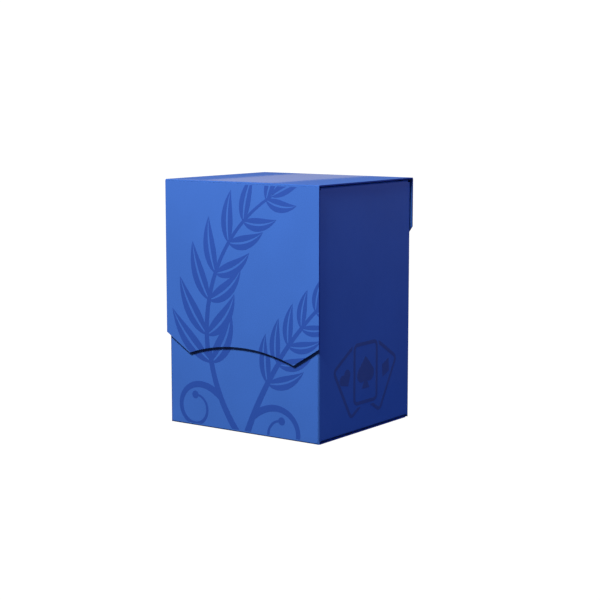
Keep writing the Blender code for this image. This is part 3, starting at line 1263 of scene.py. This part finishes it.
@dataclass(frozen=True)
class FannedCard:
    """A card in outline with a suit's mark, turned about the fan's foot; in millimetres.

    Attributes:
        suit: its mark.
        turn: how far it is turned, in degrees.
        mark_height: the mark's height on it.
        mark_size: half the mark's own height.
        half: half the card's width.
        low: the height of its lower edge.
        high: the height of its upper edge.
        corner: radius of its corners.
        foot: the height of the fan's foot.
        shift: how far the mark lies outwards on a card at full turn.
        full_turn: that turn.
        halo: how far round it the cards behind are cleared.
        line: the width of its outline.
    """

    suit: Suit
    turn: float
    mark_height: float
    mark_size: float
    half: float = 8.6
    low: float = 11.0
    high: float = 35.5
    corner: float = 2.6
    foot: float = 5.0
    shift: float = 3.0
    full_turn: float = 31.0
    halo: float = 0.9
    line: float = 1.4

    def turned(self, outline: Sequence[Point]) -> list[Point]:
        """Turns an outline with the card.

        Args:
            outline: its points before the turn, in metres.

        Returns:
            The turned points, in metres.
        """
        angle, foot = radians(self.turn), Vector((0.0, self.foot))
        made = []
        for point in outline:
            arm = Vector(point) / MM - foot
            x = arm.x * cos(angle) - arm.y * sin(angle)
            y = arm.x * sin(angle) + arm.y * cos(angle)
            made.append(((foot.x + x) * MM, (foot.y + y) * MM))
        return made

    def shapes(self) -> list[Shape]:
        """The card's cleared halo, its outline, its cleared inside and its mark.

        Returns:
            The shapes in drawing order, as y and z.
        """
        shapes: list[Shape] = []
        for grow, ink in ((self.halo, Ink.CLEARED), (0.0, Ink.LAID), (-self.line, Ink.CLEARED)):
            w, low, high = self.half + grow, self.low - grow, self.high + grow
            corners = [(-w, low), (w, low), (w, high), (-w, high)]
            card = rounded([(u * MM, v * MM, (self.corner + grow) * MM) for u, v in corners])
            shapes.append(Shape(self.turned(card), ink))
        x, y, size = -self.shift * self.turn / self.full_turn, self.mark_height, self.mark_size
        for part in pip(self.suit):
            mark = [((x + u * size) * MM, (y + v * size) * MM) for u, v in part]
            shapes.append(Shape(self.turned(mark)))
        return shapes


CARD_FAN = (
    FannedCard(Suit.HEART, 31.0, mark_height=28.0, mark_size=4.2),
    FannedCard(Suit.DIAMOND, -31.0, mark_height=28.0, mark_size=4.2),
    FannedCard(Suit.SPADE, 0.0, mark_height=23.4, mark_size=6.4),
)


@dataclass
class Prints:
    """The box's tonal prints: the boughs on the flap and the front, and the side's faint emblem.

    Attributes:
        sizes: where the box's sheets lie.
        walls: the body sheet, whose front panel is printed all over.
        strap: the lid, whose flap carries the same print.
        margin: how far a print stays inside a crease.
        emblem_half: half the width of the emblem's field.
        emblem_low: the height of the field's lower edge.
        emblem_high: the height of its upper edge.
    """

    sizes: BoxSizes
    walls: BodySheet
    strap: LidStrap
    margin: float = 1.0 * MM
    emblem_half: float = 26 * MM
    emblem_low: float = 4 * MM
    emblem_high: float = 42 * MM

    def on_front(self, outer: float) -> Placer:
        """A placer of x, z and a depth, for the sheet under a face that looks to the front."""
        return lambda x, z, depth: Vector((x, outer + PRINT_RECESS + depth, z))

    def build(self) -> None:
        """Builds and dresses the prints."""
        z = self.sizes
        boughs = TALL_BOUGH.shapes() + SHORT_BOUGH.shapes()
        top = z.strap_top - self.margin
        flap_border = [(x, min(h, top)) for x, h in self.strap.flap_outline()]
        half, low, high = z.flat_side, self.margin, z.top - self.margin
        notch_radius = self.walls.notch_radius + self.margin
        dip = asin(self.margin / notch_radius)
        notch = arc((0.0, z.top), notch_radius, -dip, dip - pi, self.walls.notch_steps)
        body_border = [(-half, low), (half, low), (half, high), *notch, (-half, high)]
        half, low, high = self.emblem_half, self.emblem_low, self.emblem_high
        emblem_border = [(-half, low), (half, low), (half, high), (-half, high)]
        emblem = [shape for card in CARD_FAN for shape in card.shapes()]
        side_face = z.side - PRINT_RECESS
        on_flap, on_body = ("lid_flap", "lid_sheet"), ("box_body", "body_sheet")

        def on_side(y: float, height: float, depth: float) -> Vector:
            """Places y, z and a depth under the right side's face."""
            return Vector((side_face - depth, y, height))

        flap, front = self.on_front(z.strap_front), self.on_front(z.front)
        Print("flap_print", boughs, flap_border, flap, PRINT_FINISH, *on_flap).build()
        Print("front_print", boughs, body_border, front, PRINT_FINISH, *on_body).build()
        Print("side_emblem", emblem, emblem_border, on_side, EMBLEM_FINISH, *on_body).build()


# ---- studio ----
class Lit(Enum):
    """What a light falls on."""

    BOX = "EXCLUDE"  # everything but the floor
    FLOOR = "INCLUDE"  # only the floor
SUN_ANGLE = radians(1.5)  # how wide a far light looks

@dataclass(frozen=True)
class StudioLight:
    """One light of the studio.

    Attributes:
        name: the light's name.
        place: where it hangs.
        aim: what it points at.
        size: its width and height, or None for an even light from far away.
        power: its power in watts, or its strength if it is far away.
        colour: its colour.
        diffuse: whether it lights surfaces.
        gloss: whether it shows in reflections.
        lit: what it falls on.
    """

    name: str
    place: Place
    aim: Place
    size: Point | None
    power: float
    colour: Colour = (1.0, 1.0, 1.0)
    diffuse: bool = True
    gloss: bool = True
    lit: Lit = Lit.BOX

    def make(self, floor: Piece) -> None:
        """Adds the light.

        Args:
            floor: the studio's floor, which the light falls on or leaves out.
        """
        data = bpy.data.lights.new(self.name, "AREA" if self.size else "SUN")
        if self.size:
            data.shape = "RECTANGLE"
            data.size, data.size_y = self.size
        else:
            data.angle = SUN_ANGLE
        data.energy = self.power
        data.color = self.colour
        light = bpy.data.objects.new(self.name, data)
        bpy.context.scene.collection.objects.link(light)
        light.location = self.place
        aim = Vector(self.aim) - Vector(self.place)
        light.rotation_euler = aim.to_track_quat("-Z", "Y").to_euler()
        light.visible_camera = False
        light.visible_diffuse = self.diffuse
        light.visible_glossy = self.gloss
        receivers = bpy.data.collections.new(self.name + "_falls_on")
        receivers.objects.link(floor)
        receivers.collection_objects[0].light_linking.link_state = self.lit.value
        light.light_linking.receiver_collection = receivers


@dataclass
class Studio:
    """The pale floor, the soft lights and the camera.

    Attributes:
        floor_half: half the floor's width.
        floor_near: the floor's brightness close to the box, painted dark there as shade.
        floor_far: its brightness far away.
        floor_reach: how far away it is at its brightest.
        room_glow: how bright the room is, apart from its lights.
        room_colour: the tint of that glow.
        backdrop_glow: how bright the floor and the room look to the camera.
        sensor: the width of the camera's sensor in millimetres.
        lens: its focal length in millimetres.
        camera_place: where the camera stands.
        yaw: how far it is turned clockwise from +Y, seen from above, in radians.
        pitch: how far it looks down, in radians.
        nearest: the nearest distance that it sees.
    """

    floor_half: float = 6.0
    floor_near: float = 0.02
    floor_far: float = 0.80
    floor_reach: float = 2.4
    room_glow: float = 0.105
    room_colour: Colour = (0.85, 0.88, 1.0)
    backdrop_glow: float = 1.05
    sensor: float = 36.0
    lens: float = 91.497
    camera_place: Place = (0.35860, -0.49247, 0.13160)
    yaw: float = -0.6230
    pitch: float = 0.1349
    nearest: float = 0.01

    def build(self) -> None:
        """Builds the studio."""
        floor = self.build_floor()
        self.build_room()
        for light in self.lights():
            light.make(floor)
        self.build_camera()
        bpy.context.scene.view_settings.view_transform = "Standard"
        bpy.context.scene.view_settings.look = "None"

    def lights(self) -> list[StudioLight]:
        """A near key, an overhead, a side fill, a strip that shows on the lid, and the floor's own.

        Returns:
            The lights.
        """
        low, far = (0.0, 0.0, 0.05), (0.0, 0.25, 1.0)
        key, grey, blue, straw = (1.02, 1.0, 0.95), (0.97,) * 3, (0.26, 0.34, 0.95), (1.0, 0.80, 0.32)
        strip, strip_aim, sun = (-1.033, 1.38, 0.1943), (0.0, 1.38, 0.1943), (-0.44, -0.90, 1.0)
        return [
            StudioLight("key", (0.04, -0.43, 0.49), low, (0.12, 0.12), 6.2, key, gloss=False),
            StudioLight("overhead", far, low, (0.5, 0.5), 8.5, grey, gloss=False),
            StudioLight("fill", (0.90, 0.35, 0.30), low, (0.5, 0.5), 2.9, blue, gloss=False),
            StudioLight("strip", strip, strip_aim, (1.8, 0.012), 0.031, straw, diffuse=False),
            StudioLight("floor_light", sun, (0.0, 0.0, 0.0), None, 1.6, lit=Lit.FLOOR),
        ]

    def glowing(self, nodes: Nodes, plain: Socket) -> Socket:
        """Shows the backdrop white behind the box, and leaves its light on the box as it is.

        Args:
            nodes: the material's nodes.
            plain: the shader that lights the box.

        Returns:
            The mixed shader.
        """
        white = nodes.add("Emission", {"Strength": self.backdrop_glow})
        seen = nodes.add("LightPath").outputs["Is Camera Ray"]
        mixed = nodes.add("MixShader", {0: seen, 1: plain, 2: white.outputs["Emission"]})
        return mixed.outputs["Shader"]

    def build_floor(self) -> Piece:
        """Builds the floor, whose colour is painted darker in the middle, as painted shade round the box
        that shows in its reflections.

        Returns:
            The floor.
        """
        mesh = bpy.data.meshes.new("floor")
        h = self.floor_half
        mesh.from_pydata([(-h, -h, 0), (h, -h, 0), (h, h, 0), (-h, h, 0)], [], [(0, 1, 2, 3)])
        floor = bpy.data.objects.new("floor", mesh)
        bpy.context.scene.collection.objects.link(floor)
        material = bpy.data.materials.new("pale_floor")
        nodes = Nodes(material)
        place = nodes.add("TexCoord").outputs["Object"]
        # painted shade: the floor's colour is painted darker near the box and lighter far away
        away = nodes.add("VectorMath", {0: place}, operation="LENGTH").outputs["Value"]
        inputs = {"Value": away, "From Max": self.floor_reach, "To Min": self.floor_near}
        shade = nodes.add("MapRange", {**inputs, "To Max": self.floor_far}).outputs["Result"]
        plain = nodes.add("BsdfDiffuse", {"Color": nodes.scaled((1.0, 1.0, 1.0), shade)})
        shader = self.glowing(nodes, plain.outputs["BSDF"])
        nodes.add("OutputMaterial", {"Surface": shader})
        mesh.materials.append(material)
        floor.visible_diffuse = False
        return floor

    def build_room(self) -> None:
        """Sets the room's even glow."""
        world = bpy.data.worlds.new("room")
        bpy.context.scene.world = world
        nodes = Nodes(world)
        inputs = {"Color": (*self.room_colour, 1.0), "Strength": self.room_glow}
        plain = nodes.add("Background", inputs)
        shader = self.glowing(nodes, plain.outputs["Background"])
        nodes.add("OutputWorld", {"Surface": shader})

    def build_camera(self) -> None:
        """Builds the camera, which looks at the box's front right corner from a little above."""
        data = bpy.data.cameras.new("camera")
        data.sensor_width = self.sensor
        data.lens = self.lens
        data.clip_start = self.nearest
        camera = bpy.data.objects.new("camera", data)
        bpy.context.scene.collection.objects.link(camera)
        yaw, pitch = self.yaw, self.pitch
        ahead = Vector((sin(yaw) * cos(pitch), cos(yaw) * cos(pitch), -sin(pitch)))
        camera.location = self.camera_place
        camera.rotation_euler = ahead.to_track_quat("-Z", "Y").to_euler()
        bpy.context.scene.camera = camera


def main() -> None:
    """Builds the box and its studio, and logs each assembly as it is built."""
    logging.basicConfig(level=logging.INFO, format="%(name)s: %(message)s")
    sizes = BoxSizes.from_frame()
    body, strap = BodySheet(sizes), LidStrap(sizes)
    for assembly in (body, strap, CardDivider(), Prints(sizes, body, strap), Studio()):
        assembly.build()
        report.info("built %s", type(assembly).__name__)


if __name__ == "__main__":
    main()
